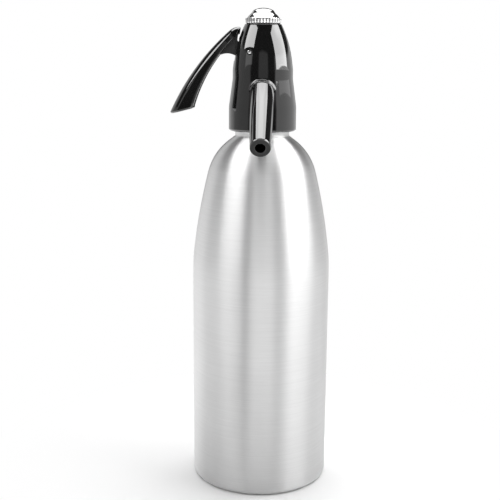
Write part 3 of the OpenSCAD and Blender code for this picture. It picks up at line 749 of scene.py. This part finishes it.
def build_top_cap():
    """Spigot, fluted ring with a slight draft, and a dome with a bare plaque."""
    z0 = CASING_TOP + 0.5
    ring_top, r, draft, flutes = z0 + 3.2, 11.35, 0.27, 36
    dome_r, dome_h, plaque_r, plaque_t = r - 1, 5.4, 7.5, 0.9
    sphere = (dome_r ** 2 + dome_h ** 2) / (2 * dome_h)
    low = ring_top + dome_h - sphere

    def height(q, extra=0):
        return low + math.sqrt((sphere + extra) ** 2 - q * q)

    top = [(0, height(0, plaque_t))]
    top += [(q, height(q, plaque_t)) for q in np.linspace(0.4, plaque_r - 1.1, 20)]
    top += [(plaque_r + 0.04, height(plaque_r) + 0.08), (plaque_r + 0.14, height(plaque_r + 0.14))]
    top += [(q, height(q)) for q in np.linspace(plaque_r + 0.3, dome_r - 0.1, 10)]
    top += [(dome_r, ring_top + 0.05), (dome_r + 0.15, ring_top)]
    top += [(r - 0.45, ring_top), (r - 0.2, ring_top - 0.08), (r - 0.05, ring_top - 0.25)]
    top += [(r, ring_top - 0.45)] + line((r, ring_top - 0.45), (r - draft, z0 + 0.4), 5)
    top += [(r - draft - 0.08, z0 + 0.12), (r - draft - 0.3, z0)]
    spigot_r, spigot_z, bore_r, bore_top, stem_r, stem_top = 8.3, z0 - 8, 5.2, z0 - 0.8, 2.1, z0 + 3.2
    top += [(spigot_r + 0.05, z0), (spigot_r, z0 - 0.2), (spigot_r, spigot_z), (bore_r, spigot_z)]
    top += [(bore_r, bore_top), (stem_r, bore_top), (stem_r, stem_top), (0, stem_top)]
    flute = math.pi * 2 * r / flutes / 3.4
    return revolve("top_cap_shell", top, CHROME, flutes * 24, sharp=38,
                   radius=fluted(r, flutes, r + 0.12, flute))


def build_port_cap():
    low, top, r, edge, flutes = PORT_FACE + 1.5, PORT_FACE + 13.4, PORT_CAP_R, 1.6, 12
    bore_r, bore_top = 7.06, PORT_FACE + 11
    face = [(0, top), (r - 3.0, top), (r - 2.6, top - 0.12), (r - 2.3, top), (r - edge, top)]
    face += corner((r - edge, top - edge), edge, 85, 0, 8)
    face += line((r, top - edge), (r, low + 0.5), 8) + [(r - 0.12, low + 0.15), (r - 0.4, low)]
    face += [(bore_r + 0.14, low), (bore_r, low + 0.15), (bore_r, bore_top), (0, bore_top)]
    return revolve("port_cap_shell", face, GLOSS, flutes * 24, PORT_M, 38, fluted(r, flutes, r + 0.7, 1.3))


def build_washer():
    z, bore, r, thick = CASING_TOP, 8.4, 10.6, 0.5
    rows = [(bore, z), (r - 0.15, z), (r, z + 0.12), (r, z + thick - 0.12), (r - 0.15, z + thick),
            (bore, z + thick)]
    return revolve("cap_washer_ring", rows, RUBBER, 128)


def build_pin():
    end = [(0, PIN_HALF), (0.7, PIN_HALF - 0.03), (1.1, PIN_HALF - 0.1), (1.3, PIN_HALF - 0.22),
           (PIN_R, PIN_HALF - 0.45)]
    rows = end + [(r, -z) for r, z in reversed(end)]
    return revolve("lever_pin_rod", rows, STEEL, 64, along((PIVOT[0], 0, PIVOT[1]), (0, 1, 0)), 45)


piece(build_top_cap(), "top_cap", "top_cap")
piece(build_port_cap(), "port_cap", "port_cap")
piece(build_washer(), "top_cap", "cap_washer")
piece(build_pin(), "head", "lever_pin")


# ---------------------------------------------------------------- floor, light and camera
# Brightness of the surroundings as gloss sees them, by azimuth in degrees: 0 is the camera's side,
# positive is to its right. WALL lies low round the object, up to the height of HORIZON (the sine of
# its elevation), and TABLE on the floor.
WALL = [(-180, .05), (-166, .05), (-160, .66), (-118, .62), (-108, .40), (-50, .38), (-44, .05),
        (-18, .05), (-13, .30), (18, .30), (23, .05), (46, .05), (52, .83), (100, .90), (125, .80),
        (160, .70), (166, .05), (180, .05)]
TABLE = [(-180, 1.2), (-150, 1.3), (-112, 1.5), (-60, 1.6), (-38, 1.4), (-24, .75), (-15, 1.8),
         (-8, 2.1), (20, 2.1), (27, 1.5), (40, 1.3), (62, 1.1), (95, 1.3), (115, 1.4), (136, 1.1),
         (160, 1.2), (180, 1.2)]
HORIZON = [(-180, .42), (-166, .42), (-160, .48), (-118, .46), (-106, .33), (-50, .33), (0, .42),
           (50, .30), (106, .25), (114, .18), (150, .18), (180, .42)]


HEAD_AT = (0, 0, 0.28)  # what the soft boxes aim at, in metres


def build_floor():
    """A plain pale floor. Away from the object it is white to the camera, and to gloss it is a
    table with a wall behind."""
    s = Shader("studio_floor")
    diffuse = s.node("ShaderNodeBsdfDiffuse", {"Color": s.tint(s.noise(3, 2), grey(0.87), grey(0.89))})
    white = s.node("ShaderNodeEmission", {"Color": (1, 1, 1, 1), "Strength": 1.0})
    place = s.node("ShaderNodeTexCoord").outputs["Object"]
    length = s.node("ShaderNodeVectorMath", {0: place}, operation="LENGTH").outputs["Value"]
    table, wall = (s.by_azimuth(place, stops)[0] for stops in (TABLE, WALL))
    beyond = s.ranged(length, 1.75, 2.1, 0.0, 1.0)
    level = s.node("ShaderNodeMixRGB", {"Fac": beyond, "Color1": table, "Color2": wall})
    sheen = s.node("ShaderNodeEmission", {"Color": level.outputs[0], "Strength": 1.0})
    path = s.node("ShaderNodeLightPath").outputs
    for_camera = s.math("MULTIPLY", s.step(length, 0.06, 0.20), path["Is Camera Ray"])
    for_gloss = s.math("MULTIPLY", s.step(length, 0.08, 0.30), path["Is Glossy Ray"])
    both = s.node("ShaderNodeMixShader", {0: for_camera, 1: diffuse.outputs[0], 2: white.outputs[0]})
    both = s.node("ShaderNodeMixShader", {0: for_gloss, 1: both.outputs[0], 2: sheen.outputs[0]})
    s.tree.links.new(both.outputs[0], s.out.inputs["Surface"])
    n, radii = 96, [0.2, 0.5, 1.2, 3.0, 8.0]
    turns = [2 * math.pi * k / n for k in range(n)]
    verts = [(0, 0, 0)] + [(r / MM * math.cos(t), r / MM * math.sin(t), 0) for r in radii for t in turns]
    faces = [(0, 1 + k, 1 + (k + 1) % n) for k in range(n)]
    for a in range(1, 1 + n * (len(radii) - 1), n):
        faces += [(a + k, a + n + k, a + n + (k + 1) % n, a + (k + 1) % n) for k in range(n)]
    new_object("studio_floor", verts, faces, s.mat)


def area_light(name, place, target, size, radiance, roll=0.0):
    """A soft box with the given radiance, where a strength of 1 looks white."""
    light = bpy.data.lights.new(name, "AREA")
    light.shape = "RECTANGLE"
    light.size, light.size_y = size
    light.energy = radiance * math.pi * size[0] * size[1]
    obj = bpy.data.objects.new(name, light)
    aim = (Vector(target) - Vector(place)).to_track_quat("-Z", "Y").to_matrix().to_4x4()
    obj.matrix_world = Matrix.Translation(place) @ aim @ Matrix.Rotation(math.radians(roll), 4, "Z")
    obj.visible_camera = False
    bpy.context.scene.collection.objects.link(obj)


def round_head(azimuth, elevation):
    """A place near the head; azimuth 0 is the camera's side, positive to its right."""
    a, e, distance = math.radians(azimuth), math.radians(elevation), 0.26
    flat, up = distance * math.cos(e), distance * math.sin(e)
    return (HEAD_AT[0] + flat * math.sin(a), HEAD_AT[1] - flat * math.cos(a), HEAD_AT[2] + up)


def build_light():
    # the two soft boxes and their weaker fills: azimuth, elevation, size, radiance and roll
    for name, azimuth, elevation, size, radiance, roll in (
            ("soft_left", -66.3, 36.2, (0.205, 0.112), 5.5, 11),
            ("fill_left", -56, 14.5, (0.13, 0.045), 0.55, 5),
            ("soft_right", 80.2, 27.4, (0.268, 0.183), 5.5, -3.5),
            ("fill_right", 90, 5.4, (0.27, 0.02), 0.6, -6)):
        area_light(name, round_head(azimuth, elevation), HEAD_AT, size, radiance, roll)
    area_light("soft_top", (0, 0.47, 1.28), (0, 0.42, 0.28), (1.3, 0.85), 3.7)
    world = bpy.data.worlds.new("studio")
    bpy.context.scene.world = world
    world.use_nodes = True
    g = Graph(world.node_tree, "ShaderNodeOutputWorld")
    dark, ceiling, plain, edge = 0.04, 1.2, 0.40, 0.04
    way = g.node("ShaderNodeTexCoord").outputs["Generated"]
    low, (x, y, z) = g.by_azimuth(way, WALL)
    above = g.math("SUBTRACT", z, g.by_azimuth(way, HORIZON)[0])
    wall = g.blend(g.step(above, -edge, edge), low, dark)
    # the pale ceiling comes down lower at the back and at the sides
    start = z
    for side in (g.math("SUBTRACT", y, 0.5), g.math("SUBTRACT", x, 0.5),
                 g.math("SUBTRACT", g.math("MULTIPLY", x, -0.6), 0.3)):
        start = g.math("ADD", start, g.math("MAXIMUM", side, 0.0))
    room = g.blend(g.step(start, 0.84, 0.92), wall, ceiling)
    # gloss sees the room, diffuse surfaces get plain light, and the camera sees white
    path = g.node("ShaderNodeLightPath").outputs
    lit = g.blend(path["Is Glossy Ray"], plain, room)
    seen = g.math("ADD", path["Is Camera Ray"], path["Is Transmission Ray"], clamp=True)
    background = g.node("ShaderNodeBackground", {"Color": (1, 1, 1, 1), "Strength": g.blend(seen, lit, 1.0)})
    g.tree.links.new(background.outputs[0], g.out.inputs[0])


def build_camera():
    """The photograph's camera: place, tilt, roll and angle of view."""
    distance, height, azimuth = 0.5878, 0.2766, math.radians(0.95)
    yaw, pitch, roll, focal_px, photo_px = -0.01256, 0.206, -0.0072, 905, 500
    fwd = Vector((math.sin(yaw) * math.cos(pitch), math.cos(yaw) * math.cos(pitch), -math.sin(pitch)))
    right = Vector((math.cos(yaw), -math.sin(yaw), 0))
    down = fwd.cross(right)
    r = right * math.cos(roll) + down * math.sin(roll)
    d = down * math.cos(roll) - right * math.sin(roll)
    m = Matrix((r, -d, -fwd)).transposed().to_4x4()
    m.translation = Vector((0, -distance, height))
    cam = bpy.data.cameras.new("photo_camera")
    cam.sensor_width = 36
    cam.lens = focal_px * cam.sensor_width / photo_px
    cam.clip_start = 0.01
    cam.clip_end = 50
    obj = bpy.data.objects.new("photo_camera", cam)
    obj.matrix_world = Matrix.Rotation(azimuth, 4, "Z") @ m
    bpy.context.scene.collection.objects.link(obj)
    bpy.context.scene.camera = obj


build_floor()
build_light()
build_camera()
bpy.context.scene.view_settings.view_transform = "Standard"
